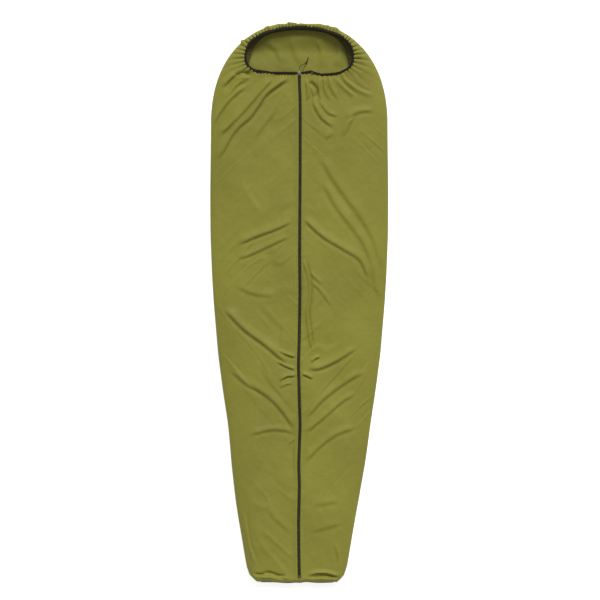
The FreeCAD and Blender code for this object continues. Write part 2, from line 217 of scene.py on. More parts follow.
# creases of the front: points along each, height, and the widths of its gentle and its steep side.
# The steep side is on the right of the direction in which the points run.
creases = [
    ([(-318, 655), (-262, 712), (-225, 749), (-155, 829), (-99, 889)], 6.5, 17, 9),
    ([(-322, 560), (-285, 630), (-245, 689), (-190, 739), (-130, 824), (-39, 889)], 7.5, 17, 9),
    ([(-345, 640), (-330, 720), (-275, 800), (-205, 858)], 4.0, 14, 8),
    ([(-187, 634), (-166, 666), (-93, 766)], 2.0, 16, 10),
    ([(-147, 345), (-198, 420), (-225, 492)], 2.0, 18, 12),
    ([(-245, 229), (-177, 261), (-93, 292), (-25, 324)], 6.0, 22, 7),
    ([(-251, 171), (-193, 192), (-114, 229), (-35, 266)], 4.5, 16, 7),
    ([(15, 338), (44, 308), (97, 261), (176, 213), (244, 166), (276, 87)], 6.0, 20, 8),
    ([(92, 577), (128, 503), (191, 413), (250, 334), (297, 245), (329, 140)], 4.0, 26, 13),
    ([(97, 481), (139, 397), (202, 313), (260, 229), (292, 140), (318, 8)], 4.0, 22, 12),
    ([(-262, 893), (-222, 902), (-186, 893)], -6.0, 11, 9),
    ([(-305, 844), (-264, 890), (-214, 912)], 5.0, 14, 8),
    ([(-296, 794), (-255, 849), (-196, 892)], 3.5, 14, 8),
    ([(36, 872), (58, 852), (70, 826), (66, 800)], -6.5, 9, 8),
    ([(28, 790), (36, 820), (34, 850), (26, 884)], 4.0, 8, 7),
    ([(88, 796), (78, 838), (85, 890)], 3.6, 8, 6),
    ([(124, 792), (101, 848), (104, 892)], 4.0, 8, 6),
    ([(156, 800), (131, 844), (121, 892)], 4.0, 8, 6),
    ([(222, 808), (166, 858), (140, 893)], 3.8, 10, 6),
    ([(296, 816), (250, 830), (196, 864), (164, 898)], 3.4, 12, 7),
    ([(52, 800), (88, 730), (144, 687)], 4.0, 12, 7),
    ([(75, 800), (116, 748), (158, 735)], 3.0, 10, 6),
    ([(176, 720), (228, 752), (300, 760)], 2.6, 16, 9),
    ([(171, 650), (191, 698), (218, 740)], 3.5, 12, 7),
    ([(101, 645), (132, 672)], 2.0, 12, 8),
    ([(52, -190), (44, -140), (34, -44), (42, 10), (42, 87), (16, 176)], 9.0, 8, 4.5),
    ([(40, 126), (92, 70)], 3.6, 9, 7),
    ([(44, 92), (88, 44), (132, -16)], 3.2, 11, 7),
    ([(-84, -184), (-44, -203), (-8, -212)], 8.0, 7, 5),
    ([(-92, -226), (-48, -249), (-8, -262)], 7.0, 7, 5),
    ([(46, -236), (60, -218), (84, -210)], 7.0, 7, 5),
    ([(-257, 76), (-177, 39), (-93, 34)], 2.6, 22, 10),
    ([(-61, -55), (-72, -176)], 2.0, 12, 8),
    ([(-293, -18), (-219, -97), (-135, -160), (-72, -213), (-40, -244)], 7.5, 20, 9),
    ([(28, -252), (76, -255), (149, -223), (228, -170)], 6.5, 18, 8),
    ([(-80, -308), (-51, -288), (-8, -284)], 8.0, 8, 4.5),
    ([(-78, -332), (-50, -318), (-24, -316)], 5.0, 7, 5),
    ([(8, -280), (30, -284), (56, -299)], 8.0, 8, 4.5),
    ([(-272, -255), (-209, -312), (-135, -354), (-72, -413), (-14, -497)], 5.5, 20, 9),
    ([(23, -455), (76, -391), (160, -323), (254, -265)], 5.0, 18, 9),
    ([(18, -512), (86, -455), (160, -391), (223, -349)], 4.5, 16, 8),
    ([(18, -628), (70, -570), (149, -512), (228, -486)], 4.0, 18, 9),
    ([(-203, -518), (-124, -497), (-61, -497), (-14, -512)], 4.0, 16, 8),
    ([(-40, -554), (-14, -528)], 3.0, 8, 5),
    ([(-119, -790), (-88, -841), (-23, -906)], 2.4, 18, 10),
    ([(49, -794), (169, -774)], 2.4, 20, 10),
    ([(37, -898), (190, -858)], 2.4, 20, 10),
    ([(-159, -1042), (-171, -1002), (-192, -938), (-211, -810)], 3.0, 9, 7),
    ([(149, -938), (165, -1010), (154, -1058)], 3.0, 9, 7),
    ([(-180, -1060), (-152, -1069), (-120, -1066)], -7.0, 6, 9),
    ([(-138, -1060), (-104, -1063), (-74, -1074), (-44, -1070)], -8.0, 7, 12),
    ([(-172, -1082), (-140, -1075), (-118, -1084)], 4.0, 4, 5),
    ([(-150, -1084), (-112, -1078), (-86, -1085)], 4.5, 4, 6),
    ([(-98, -1086), (-66, -1077), (-34, -1085)], 4.0, 4, 6),
    ([(26, -1076), (62, -1062), (112, -1060), (172, -1077)], 6.5, 9, 5),
    ([(34, -1083), (92, -1073), (142, -1078), (182, -1085)], -7.5, 5, 7),
    ([(60, -1088), (86, -1084), (120, -1090)], 3.0, 4, 5),
]


# Catmull-Rom line through given points.
def smoothLine(points, steps=8):
    p = np.array([points[0], *points, points[-1]], float)
    out = []
    for i in range(len(points) - 1):
        a, b, c, d = p[i:i + 4]
        for t in np.linspace(0, 1, steps, endpoint=False):
            out.append(0.5 * (2 * b + (c - a) * t + (2 * a - 5 * b + 4 * c - d) * t**2
                              + (3 * b - a - 3 * c + d) * t**3))
    out.append(np.array(points[-1], float))
    return np.array(out)


def creaseHeight(x, y, points, height, gentle, steep):
    line = smoothLine(points)
    reach = 4 * max(gentle, steep)
    low, high = line.min(0) - reach, line.max(0) + reach
    inside = (x > low[0]) & (x < high[0]) & (y > low[1]) & (y < high[1])
    out = np.zeros_like(x)
    if not inside.any():
        return out
    px, py = x[inside], y[inside]
    best = np.full(px.shape, 1e9)
    side, share = np.zeros(px.shape), np.zeros(px.shape)
    steps = np.hypot(*np.diff(line, axis=0).T)
    before = np.concatenate([[0], np.cumsum(steps)])
    for k in range(len(steps)):
        (ax, ay), (bx, by) = line[k], line[k + 1]
        dx, dy = (bx - ax) / steps[k], (by - ay) / steps[k]
        along = np.clip((px - ax) * dx + (py - ay) * dy, 0, steps[k])
        ox, oy = px - ax - along * dx, py - ay - along * dy
        away = np.hypot(ox, oy)
        near = away < best
        best = np.where(near, away, best)
        side = np.where(near, np.sign(dx * oy - dy * ox), side)
        share = np.where(near, (before[k] + along) / before[-1], share)
    ends = min(0.28, 45.0 / before[-1])
    fade = smoothStep(share / ends) * smoothStep((1 - share) / ends)
    signed = best * side
    width = np.where(signed > 0, gentle, steep)
    ridge = np.exp(-0.5 * (signed / width) ** 2)
    trough = 0.4 * np.exp(-0.5 * ((signed + 2.4 * steep) / steep) ** 2)
    out[inside] = height * fade * (ridge - trough)
    return out


def makeZipCentres():
    plain = np.interp(outlineY, zipSizes["wanderY"], zipSizes["wander"])
    kernel = np.exp(-np.linspace(-2.5, 2.5, 61) ** 2)
    return np.convolve(plain, kernel / kernel.sum(), mode="same")


zipCentres = makeZipCentres()


def zipCentre(y):
    return np.interp(y, outlineY, zipCentres)


# how many gathers there are up to each place along the rim, and how far apart they lie past the last one
rimFolds = {"places": [0.0, 60.0, 190.0], "counts": [0.0, 4.4, 12.0], "spacing": 13.5,
            "length": 16.0, "lengthVaries": 7.0, "longer": 34.0}


# gathers that run out from the elastic of the rim: round ridges with tight valleys between them
def rimGathers(x, y, inside):
    index, away = nearest(rimTree, x, y)
    s = rimAllAlong[index]
    whole = rimAllAlong[-1]
    total = rimFolds["counts"][-1] + (whole - rimFolds["places"][-1]) / rimFolds["spacing"]
    count = np.interp(s, rimFolds["places"] + [whole], rimFolds["counts"] + [total])
    phase = math.pi * count + 1.1 * softNoise(s, s * 0, 37, 1, 31)
    size = 0.66 + 0.34 * softNoise(s, s * 0, 22, 1, 32)
    pleats = smoothStep((s - 60) / 15) * smoothStep((185 - s) / 25)  # long pleats right of the zip
    beside = smoothStep((np.minimum(s, whole - s) - 165) / 40)
    length = (rimFolds["length"] + rimFolds["lengthVaries"] * softNoise(s, s * 0, 30, 1, 33)
              + rimFolds["longer"] * pleats + rimFolds["longer"] * beside)
    ridge = np.sqrt(np.abs(np.sin(phase))) - 0.7 + 0.25 * np.sin(phase * 0.37 + 1)
    crown = smoothStep((y - 1040) / 30)
    gather = sack["gather"] * ridge * size * np.exp(-away / length) * smoothStep(away / 3)
    return gather * (1 + 0.6 * beside) * (1 - 0.2 * crown) * smoothStep(inside / 7), away


# many faint creases, running up to the zip above the knees and down to it below
def fineCreases(x, y):
    wide = np.abs(x)
    upper = smoothStep((y + 60) / 160)
    out = np.zeros_like(x)
    for share, turn, seed in ((upper, 1.0, 61), (1 - upper, -0.9, 63)):
        across = (wide + turn * y) * 0.71 + np.sign(x) * 300
        along = (y * turn - wide) * 0.71
        line = softNoise(across, along, 46, 210, seed)
        strong = np.clip(softNoise(x, y, 130, 130, seed + 1) + 0.35, 0, 1)
        out += share * strong * (np.exp(-(line / 0.13) ** 2) - 0.6 * np.exp(-((line + 0.3) / 0.16) ** 2))
    return sack["fineCrease"] * out


# Height of the front fabric over any point of the plan.
def frontHeight(x, y):
    index, inside = nearest(edgeTree, x, y)
    reach = np.interp(edgePoints[index][..., 1], sack["rollY"], sack["roll"])
    t = np.clip(inside / reach, 0, 1)
    rise = np.sqrt(np.clip(1 - (1 - t) ** 2, 0, 1))
    z = sack["seamZ"] + (sack["topZ"] - sack["seamZ"]) * rise
    fromZip = np.abs(x - zipCentre(y))
    calm = smoothStep((fromZip - 5) / 15)  # the zip holds the cloth level
    nearHood = smoothStep((y - 880) / 40)
    loose = smoothStep(inside / 60)
    relief = np.zeros_like(x)
    for points, height, gentle, steep in creases:
        relief += creaseHeight(x, y, points, height * sack["creaseGain"], gentle * sack["gentleShare"],
                               steep * sack["steepShare"])
    relief *= 1 + sack["hoodGain"] * smoothStep((y - 620) / 120)
    relief += fineCreases(x, y)
    waves = (2.4 * softNoise(x + 0.35 * y, y, 120, 260, 11) + 1.3 * softNoise(x, y - 0.5 * x, 60, 95, 12)
             + 0.45 * softNoise(x, y, 26, 34, 13) + 0.12 * softNoise(x, y, 11, 13, 14)) * sack["waveGain"]
    z = z + smoothStep(inside / 30) * relief * (0.2 + 0.8 * calm)
    z = z + loose * waves * (1 - 0.85 * nearHood) * (0.15 + 0.85 * calm)
    # pucker of the cloth where the zip is sewn in
    pucker = 0.9 * softNoise(y * 0 + np.sign(x) * 40, y, 30, 12, 21) + 0.7 * softNoise(x, y, 60, 27, 22)
    z = z + pucker * np.exp(-np.clip(fromZip - 6, 0, None) / 16) * (1 - nearHood)
    gather, rimAway = rimGathers(x, y, inside)
    z = z + gather
    # the tape of the zip holds the cloth up
    held = sack["topZ"] - 0.8 - 12 * smoothStep((fromZip - 16) / 16)
    z = np.where(t >= 1, np.maximum(z, held), z)
    # the cloth dips a little into the binding
    over = z - 1.5 * np.exp(-rimAway / 5) - sack["topZ"]
    return sack["topZ"] + np.where(over > 0, sack["swell"] * np.tanh(over / sack["swell"]), over)


def gridFaces(rows, cols, first, flip):
    a = (np.arange(rows - 1)[:, None] * cols + np.arange(cols - 1)[None]).ravel() + first
    quads = np.column_stack([a, a + 1, a + cols + 1, a + cols])
    return quads[:, ::-1] if flip else quads


def gridNormals(p):
    across = np.gradient(p, axis=1)
    along = np.gradient(p, axis=0)
    n = np.cross(across, along)
    return n / np.maximum(np.linalg.norm(n, axis=2, keepdims=True), 1e-9)


def newMesh(name, points, faces, material):
    mesh = bpy.data.meshes.new(name)
    mesh.from_pydata([tuple(p) for p in points], [], [tuple(int(i) for i in f) for f in faces])
    mesh.materials.append(material)
    mesh.shade_smooth()
    mesh.set_sharp_from_angle(angle=math.radians(55))
    mesh.update()
    piece = bpy.data.objects.new(name, mesh)
    bpy.context.collection.objects.link(piece)
    return piece


# leans the foot to one side and makes its end uneven
def footWarp(p):
    x, y = p[..., 0], p[..., 1]
    lean = sack["lean"] * smoothStep((sack["leanFrom"] - y) / sack["leanRun"])
    wave = sack["footWave"] * softNoise(x, x * 0, 62, 1, 81) * smoothStep((sack["footWaveFrom"] - y) / 60)
    out = np.array(p, float)
    out[..., 0] -= lean * smoothStep(np.abs(x) / 150) * (1 - 0.1 * np.sign(x))
    out[..., 1] += wave * smoothStep(np.abs(x) / 30)
    return out


# A sheet with two faces and closed edges from a grid of points in millimetres. Where columns run left
# to right and rows foot to head, its shown face looks up, or down when up is False.
def clothPiece(name, p, thickness, material, up=True):
    p = footWarp(p)
    rows, cols = p.shape[:2]
    n = gridNormals(p)
    inner = p - n * thickness if up else p + n * thickness
    count = rows * cols
    outerFaces = gridFaces(rows, cols, 0, not up)
    innerFaces = gridFaces(rows, cols, count, up)
    lastRow = (rows - 1) * cols
    edge = np.array([*range(cols), *(r * cols + cols - 1 for r in range(1, rows)),
                     *(lastRow + c for c in range(cols - 2, -1, -1)),
                     *(r * cols for r in range(rows - 2, 0, -1))])
    following = np.roll(edge, -1)
    sides = np.column_stack([edge, edge + count, following + count, following])
    if not up:
        sides = sides[:, ::-1]
    points = np.vstack([p.reshape(-1, 3), inner.reshape(-1, 3)]) * mm
    return newMesh(name, points, np.vstack([outerFaces, innerFaces, sides]), material)


# A rounded band along a path of points in millimetres. halfWide and halfHigh may change along it.
def sweptBand(name, path, ups, halfWide, halfHigh, material, around=12):
    path, ups = np.asarray(path, float), np.asarray(ups, float)
    tangent = np.gradient(path, axis=0)
    tangent /= np.linalg.norm(tangent, axis=1, keepdims=True)
    side = np.cross(tangent, ups)
    side /= np.linalg.norm(side, axis=1, keepdims=True)
    lift = np.cross(side, tangent)
    a = np.linspace(0, 2 * math.pi, around, endpoint=False)
    wide = np.broadcast_to(halfWide, (len(path),))[:, None, None]
    high = np.broadcast_to(halfHigh, (len(path),))[:, None, None]
    ring = (path[:, None] + side[:, None] * wide * np.cos(a)[None, :, None]
            + lift[:, None] * high * np.sin(a)[None, :, None])
    rows = len(path)
    points = ring.reshape(-1, 3)
    faces = []
    for r in range(rows - 1):
        for c in range(around):
            d = (c + 1) % around
            faces.append((r * around + c, (r + 1) * around + c, (r + 1) * around + d, r * around + d))
    faces.append(tuple(range(around)))
    faces.append(tuple((rows - 1) * around + c for c in range(around - 1, -1, -1)))
    return newMesh(name, points * mm, faces, material)


# Turns an sRGB hex colour to linear RGBA for the materials.
def linear(hexColour):
    out = []
    for i in (1, 3, 5):
        c = int(hexColour[i:i + 2], 16) / 255
        out.append(c / 12.92 if c <= 0.04045 else ((c + 0.055) / 1.055) ** 2.4)
    return (*out, 1.0)


def newMaterial(name):
    material = bpy.data.materials.new(name)
    material.use_nodes = True
    material.node_tree.nodes.clear()
    return material, material.node_tree


# Adds a node with its properties, and with socket values or the sockets that feed them as inputs.
def addNode(tree, kind, settings=None, inputs=None):
    node = tree.nodes.new(kind)
    for key, value in (settings or {}).items():
        setattr(node, key, value)
    for key, value in (inputs or {}).items():
        if isinstance(value, bpy.types.NodeSocket):
            tree.links.new(value, node.inputs[key])
        else:
            node.inputs[key].default_value = value
    return node


def rampBetween(tree, factor, low, high, lowAt=0.3, highAt=0.7):
    ramp = addNode(tree, "ShaderNodeValToRGB", None, {"Fac": factor})
    ramp.color_ramp.elements[0].position = lowAt
    ramp.color_ramp.elements[1].position = highAt
    ramp.color_ramp.elements[0].color = linear(low)
    ramp.color_ramp.elements[1].color = linear(high)
    return ramp.outputs["Color"]


def finishSurface(tree, colour, bump, settings):
    inputs = {"Base Color": colour, **settings}
    if bump is not None:
        inputs["Normal"] = bump
    surface = addNode(tree, "ShaderNodeBsdfPrincipled", None, inputs)
    addNode(tree, "ShaderNodeOutputMaterial", None, {"Surface": surface.outputs["BSDF"]})


# a wave texture of scale 1 repeats every 0.314 m along an axis, or every 0.444 m if diagonal on a level face
axisWave = 0.314
diagonalWave = 0.444


# Warp-knit polyester jersey: matt with a soft sheen on the folds, fine ribs along the sack.
def stretchKnit():
    material, tree = newMaterial("oliveStretchKnit")
    place = addNode(tree, "ShaderNodeTexCoord").outputs["Object"]
    cloud = addNode(tree, "ShaderNodeTexNoise", None, {"Vector": place, "Scale": 3.0, "Detail": 3.0})
    mottle = addNode(tree, "ShaderNodeTexNoise", None, {"Vector": place, "Scale": 60.0, "Detail": 4.0})
    mixed = addNode(tree, "ShaderNodeMath", {"operation": "MULTIPLY_ADD"},
                    {0: mottle.outputs["Fac"], 1: 0.35, 2: cloud.outputs["Fac"]})
    colour = rampBetween(tree, mixed.outputs[0], "#6e6c27", "#7a772c", 0.4, 0.95)
    # wales 0.9 mm apart are too fine to show, so ribs are drawn every 5.65 mm and courses every 4.4 mm
    ribs = addNode(tree, "ShaderNodeTexWave", {"bands_direction": "X", "wave_profile": "SIN"},
                   {"Vector": place, "Scale": axisWave / 0.005652, "Distortion": 0.6, "Detail": 1.0})
    courses = addNode(tree, "ShaderNodeTexWave", {"bands_direction": "Y", "wave_profile": "SIN"},
                      {"Vector": place, "Scale": axisWave / 0.004396, "Distortion": 0.4, "Detail": 1.0})
    knit = addNode(tree, "ShaderNodeMath", {"operation": "MULTIPLY"},
                   {0: ribs.outputs["Fac"], 1: courses.outputs["Fac"]})
    knitBump = addNode(tree, "ShaderNodeBump", None,
                       {"Height": knit.outputs[0], "Strength": 0.18, "Distance": 0.0004})
    # soft wrinkles about 24 mm apart, with finer ones in them
    wrinkle = addNode(tree, "ShaderNodeTexNoise", None,
                      {"Vector": place, "Scale": 42.0, "Detail": 3.0, "Roughness": 0.55, "Distortion": 0.8})
    bump = addNode(tree, "ShaderNodeBump", None,
                   {"Height": wrinkle.outputs["Fac"], "Strength": 0.35, "Distance": 0.003,
                    "Normal": knitBump.outputs["Normal"]})
    finishSurface(tree, colour, bump.outputs["Normal"],
                  {"Roughness": 0.66, "Sheen Weight": 0.18, "Sheen Roughness": 0.45,
                   "Sheen Tint": linear("#c9c48a"), "Specular IOR Level": 0.22})
    return material


# Woven polyester tape or fold-over binding: matt, with a slanting rib. Real ribs are under 1 mm apart and
# too fine to show, so they are drawn ribGap metres apart.
def wovenTape(name, low, high, ribGap, roughness):
    material, tree = newMaterial(name)
    place = addNode(tree, "ShaderNodeTexCoord").outputs["Object"]
    speck = addNode(tree, "ShaderNodeTexNoise", None, {"Vector": place, "Scale": 400.0, "Detail": 3.0})
    colour = rampBetween(tree, speck.outputs["Fac"], low, high)
    weft = addNode(tree, "ShaderNodeTexWave", {"bands_direction": "DIAGONAL"},
                   {"Vector": place, "Scale": diagonalWave / ribGap, "Distortion": 1.2, "Detail": 2.0})
    bump = addNode(tree, "ShaderNodeBump", None,
                   {"Height": weft.outputs["Fac"], "Strength": 0.35, "Distance": 0.0005})
    finishSurface(tree, colour, bump.outputs["Normal"], {"Roughness": roughness, "Specular IOR Level": 0.2})
    return material


# Nylon monofilament coil: dyed dark olive-brown, slightly glossy.
def nylonCoil():
    material, tree = newMaterial("nylonCoil")
    place = addNode(tree, "ShaderNodeTexCoord").outputs["Object"]
    speck = addNode(tree, "ShaderNodeTexNoise", None, {"Vector": place, "Scale": 900.0, "Detail": 2.0})
    colour = rampBetween(tree, speck.outputs["Fac"], "#1f1c0f", "#2f2b19")
    finishSurface(tree, colour, None, {"Roughness": 0.45, "Specular IOR Level": 0.35})
    return material


# Die-cast zinc, bare or under a thin grey paint that is worn a little: satin.
def castZinc(name, low, high, metallic):
    material, tree = newMaterial(name)
    place = addNode(tree, "ShaderNodeTexCoord").outputs["Object"]
    wear = addNode(tree, "ShaderNodeTexNoise", None, {"Vector": place, "Scale": 700.0, "Detail": 5.0})
    colour = rampBetween(tree, wear.outputs["Fac"], low, high)
    bump = addNode(tree, "ShaderNodeBump", None,
                   {"Height": wear.outputs["Fac"], "Strength": 0.1, "Distance": 0.0002})
    finishSurface(tree, colour, bump.outputs["Normal"], {"Roughness": 0.36, "Metallic": metallic})
    return material


# Spun polyester thread: matt, twisted.
def sewingThread(name, low, high):
    material, tree = newMaterial(name)
    place = addNode(tree, "ShaderNodeTexCoord").outputs["Object"]
    twist = addNode(tree, "ShaderNodeTexNoise", None, {"Vector": place, "Scale": 2500.0, "Detail": 1.0})
    finishSurface(tree, rampBetween(tree, twist.outputs["Fac"], low, high), None, {"Roughness": 0.8})
    return material


knit = stretchKnit()
rimTape = wovenTape("foldOverBinding", "#121007", "#231f10", 0.005328, 0.85)
# dark olive of the hood's facing: painted shade, standing in for the shadow under the rim
shadeFacingTape = wovenTape("hoodShadeFacing", "#39361a", "#4a4724", 0.005328, 0.85)
zipTapeCloth = wovenTape("wovenZipTape", "#211e10", "#343019", 0.00444, 0.8)
seamTape = wovenTape("footSeamTape", "#4f4419", "#655a27", 0.005328, 0.8)
cordBraid = wovenTape("braidedPullCord", "#1b1910", "#34301f", 0.003552, 0.7)
elasticRubber = wovenTape("coveredElastic", "#14120d", "#26231a", 0.002664, 0.8)
coilNylon = nylonCoil()
zinc = castZinc("bareZinc", "#8a8680", "#b5b1ab", 0.9)
paintedZinc = castZinc("paintedZinc", "#46433c", "#5c5852", 0.3)
oliveThread = sewingThread("oliveThread", "#6c6a2a", "#7d7a33")
print("materials made")


# the hem of the cloth beside the zip, and the drop of its very edge
zipHem = {"width": 14.5, "soft": 2.5, "high": 0.9, "edge": 7.5, "edgeSoft": 1.6, "edgeDrop": 1.3}


# One half of the front, from the zip's edge to the side seam, and from the foot panel to the lip.
def sidePanel(name, sign):
    rows, inCols, rollCols = 490, 60, 40
    y = np.linspace(fold["footY"], rim["lipY"], rows)
    out = np.zeros((rows, inCols + rollCols, 3))
    wide = halfWidth(y)
    reach = np.interp(y, sack["rollY"], sack["roll"])
    centre = zipCentre(y)
    share = np.linspace(0, 1, inCols) ** 1.15
    turn = np.linspace(0, 1, rollCols + 1)[1:]
    across = 0.5 * turn + 0.5 * np.sin(turn * math.pi / 2)
    start = zipSizes["slot"] + sign * centre
    flat = wide - reach
    x = np.concatenate([
        start[:, None] + share[None] * (flat - start)[:, None],
        flat[:, None] + reach[:, None] * across[None],
    ], axis=1) * sign
    out[..., 0] = x
    out[..., 1] = lipWarp(x, np.repeat(y[:, None], x.shape[1], axis=1))
    z = frontHeight(x, out[..., 1].copy())
    # the cloth is folded under beside the zip, which makes a raised edge
    fromZip = np.abs(x - centre[:, None])
    raised = smoothStep((zipHem["width"] - fromZip) / zipHem["soft"]) * zipHem["high"]
    z += raised - zipHem["edgeDrop"] * smoothStep((zipHem["edge"] - fromZip) / zipHem["edgeSoft"])
    z[:, -1] = sack["seamZ"]
    out[..., 2] = z
    if sign < 0:
        out = out[:, ::-1]
    return clothPiece(name, out, sack["cloth"], knit)


# Outline from (half width, y0) over the head end to the other side, even steps.
def outlineArc(y0, count):
    keep = outlineY >= y0
    right = np.column_stack([halfWidths[keep], outlineY[keep]])
    top = np.array([[0.0, headEnd]])
    half = np.vstack([right, top])
    whole = np.vstack([half, (half * [-1, 1])[::-1][1:]])
    along = np.concatenate([[0], np.cumsum(np.hypot(*np.diff(whole, axis=0).T))])
    even = np.linspace(0, along[-1], count)
    return np.column_stack([np.interp(even, along, whole[:, k]) for k in (0, 1)])


hoodShape = {"tuck": 1.5, "tuckDrop": 0.3, "bulge": 10.0, "bulgeShort": 60.0}


# Fabric between the rim and the outline, above the lip.
def hoodPanel():
    cols, rows = 560, 30
    cornerAlong = rim["halfWidth"] - rim["cornerR"]
    s = np.linspace(cornerAlong, rimAllAlong[-1] - cornerAlong, cols)
    inner = np.column_stack([np.interp(s, rimAllAlong, rimPlain[:, k]) for k in (0, 1)])
    outer = outlineArc(rim["lipY"], cols)
    share = np.sin(np.linspace(0, math.pi / 2, rows)) * 0.6 + np.linspace(0, 1, rows) * 0.4
    plan = inner[:, None] + (outer - inner)[:, None] * share[None, :, None]
    plan[..., 1] = lipWarp(plan[..., 0], plan[..., 1])
    plan[[0, -1], :, 1] -= hoodShape["tuck"]  # tucked under the front, so that the join does not show
    z = frontHeight(plan[..., 0].copy(), plan[..., 1].copy())
    # the gathers push the cloth out past the seam here and there
    outward = outer - inner
    width = np.linalg.norm(outward, axis=1, keepdims=True)
    uneven = softNoise(s, s * 0, 26, 1, 34) + 0.45 * softNoise(s, s * 0, 11, 1, 35) + 0.12
    short = hoodShape["bulgeShort"]
    bulge = hoodShape["bulge"] * np.clip(uneven, 0, 1)
    bulge = bulge * smoothStep((s - s[0] - short) / short) * smoothStep((s[-1] - short - s) / short)
    push = bulge[:, None] * smoothStep(share[None] / 0.6) * smoothStep((1 - share[None]) * width / 5)
    plan += (outward / width)[:, None] * push[..., None]
    z[[0, -1]] -= hoodShape["tuckDrop"]
    z[:, -1] = sack["seamZ"]
    p = np.concatenate([plan, z[..., None]], axis=2)
    # rows run anticlockwise round the rim and columns outwards, which keeps the shown face up
    return clothPiece("hoodFabric", p, sack["cloth"], knit)


# Closed end of the front, between the zip's foot and the foot seam.
def footPanel():
    rows, cols = 26, 150
    y = footEnd + (fold["footY"] - footEnd) * (1 - np.cos(np.linspace(0, math.pi / 2, rows)))
    a = np.linspace(-1, 1, cols)
    share = np.sign(a) * np.sin(np.abs(a) * math.pi / 2) * 0.5 + a * 0.5
    x = share[None] * halfWidth(y)[:, None]
    yy = np.repeat(y[:, None], cols, axis=1)
    z = frontHeight(x, yy.copy())
    z[:, 0] = z[:, -1] = sack["seamZ"]
    z[0] = sack["seamZ"]
    return clothPiece("footFabric", np.dstack([x, yy, z]), sack["cloth"], knit)


# soft creases of the back that show through the hood opening
backCreases = [
    ([(-150, 1040), (-90, 1000), (-60, 930)], 5.0, 16, 9),
    ([(-30, 1060), (-20, 1000), (10, 940)], 3.5, 14, 9),
    ([(60, 1050), (90, 990), (80, 925)], 4.5, 15, 8),
    ([(150, 1030), (160, 985), (140, 930)], 4.0, 14, 8),
]

# the back lies a little higher under the crown
backRise = {"high": 20.0, "fromY": 985.0, "run": 75.0}


# The whole back, lying on the ground and turned up to the side seams.
def backPanel():
    rows, cols = 300, 130
    t = np.linspace(0, 1, rows)
    ends = 0.5 - 0.5 * np.cos(math.pi * t)
    y = footEnd + (headEnd - footEnd) * (0.75 * t + 0.25 * ends)
    a = np.linspace(-1, 1, cols)
    share = np.sign(a) * np.sin(np.abs(a) * math.pi / 2) * 0.45 + a * 0.55
    x = share[None] * halfWidth(y)[:, None]
    yy = np.repeat(y[:, None], cols, axis=1)
    inside = nearest(edgeTree, x, yy)[1]
    reach = np.minimum(sack["backRoll"], 14 + 0.25 * np.abs(halfWidth(yy)))
    t = np.clip(inside / reach, 0, 1)
    z = sack["seamZ"] * (1 - np.sqrt(1 - (1 - t) ** 2))
    ripple = 2.2 * softNoise(x, yy, 70, 60, 41) + 1.2 * softNoise(x + yy, yy - x, 34, 60, 42) + 1.4
    rise = backRise["high"] * smoothStep((yy - backRise["fromY"]) / backRise["run"])
    rise = rise * smoothStep(inside / 20)
    z = z + np.clip(ripple, 0, None) * smoothStep(inside / 60) + rise
    for points, height, gentle, steep in backCreases:
        z = z + np.clip(creaseHeight(x, yy, points, height, gentle, steep), 0, None)
    return clothPiece("backFabric", np.dstack([x, yy, z]), sack["cloth"], knit, up=False)


# facing tape sewn inside the hood's binding, seen through the opening: its dark colour is painted shade, the
# shadow that the rim casts on the back
shadeFacingStrip = {"start": 190.0, "taper": 90.0, "middleY": 985.0, "crownY": 1068.0, "crownRun": 45.0,
               "wide": 8.0, "wider": 13.0, "wideVaries": 3.0, "narrow": 2.0,
               "gather": 1.3, "gatherGap": 15.0, "hang": 30.0}


def hoodShadeFacing():
    whole = rimAllAlong[-1]
    s = np.linspace(shadeFacingStrip["start"], whole - shadeFacingStrip["start"], 420)
    plan = np.column_stack([np.interp(s, rimAllAlong, rimAll[:, k]) for k in (0, 1)])
    inward = np.array([0.0, shadeFacingStrip["middleY"]]) - plan
    inward /= np.linalg.norm(inward, axis=1, keepdims=True)
    end = (smoothStep((s - shadeFacingStrip["start"]) / shadeFacingStrip["taper"])
           * smoothStep((whole - shadeFacingStrip["start"] - s) / shadeFacingStrip["taper"]))
    belowCrown = smoothStep((shadeFacingStrip["crownY"] - plan[:, 1]) / shadeFacingStrip["crownRun"])
    uneven = shadeFacingStrip["wideVaries"] * softNoise(s, s * 0, 45, 1, 71)
    reach = (shadeFacingStrip["wide"] + shadeFacingStrip["wider"] * belowCrown + uneven) * end + shadeFacingStrip["narrow"]
    turns = 2 * math.pi * s / shadeFacingStrip["gatherGap"] + 1.7 * softNoise(s, s * 0, 34, 1, 72)
    gathers = shadeFacingStrip["gather"] * np.sin(turns)
    down = np.linspace(0, 1, 10)
    spread = shadeFacingStrip["narrow"] + (reach - shadeFacingStrip["narrow"])[:, None] * down[None] ** 1.3
    flat = plan[:, None] + inward[:, None] * spread[..., None]
    hang = shadeFacingStrip["hang"] * (down[None] ** 0.8) * (0.25 + 0.75 * end)[:, None]
    z = sack["topZ"] - 3 - hang + gathers[:, None] * down[None]
    # columns run inwards here, so up=False turns the shown face up
    return clothPiece("hoodShadeFacing", np.dstack([flat, z]), sack["cloth"], shadeFacingTape, up=False)


panelLeft = sidePanel("frontFabricLeft", -1)
panelRight = sidePanel("frontFabricRight", 1)
hood = hoodPanel()
shadeFacingPiece = hoodShadeFacing()
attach(shadeFacingPiece, "sack")
foot = footPanel()
back = backPanel()
print("fabric panels made")


def onFlap(piece):
    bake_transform(piece)


for panel, side in ((panelLeft, "left"), (panelRight, "right")):
    onFlap(panel)
    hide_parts("front_panel_" + side, "zip_flap_" + side)
for piece, node in ((hood, "hood_panel"), (foot, "foot_panel"), (back, "back_panel")):
    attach(piece, "sack")
    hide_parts(node)


# binding of the rim: a folded tape, gathered by its elastic. Half widths and half heights.
binding = {"wide": 4.8, "widerAtCrown": 2.6, "high": 4.2, "elastic": 1.9, "rippleGap": 12.0, "start": 7.0,
           "join": 0.2}


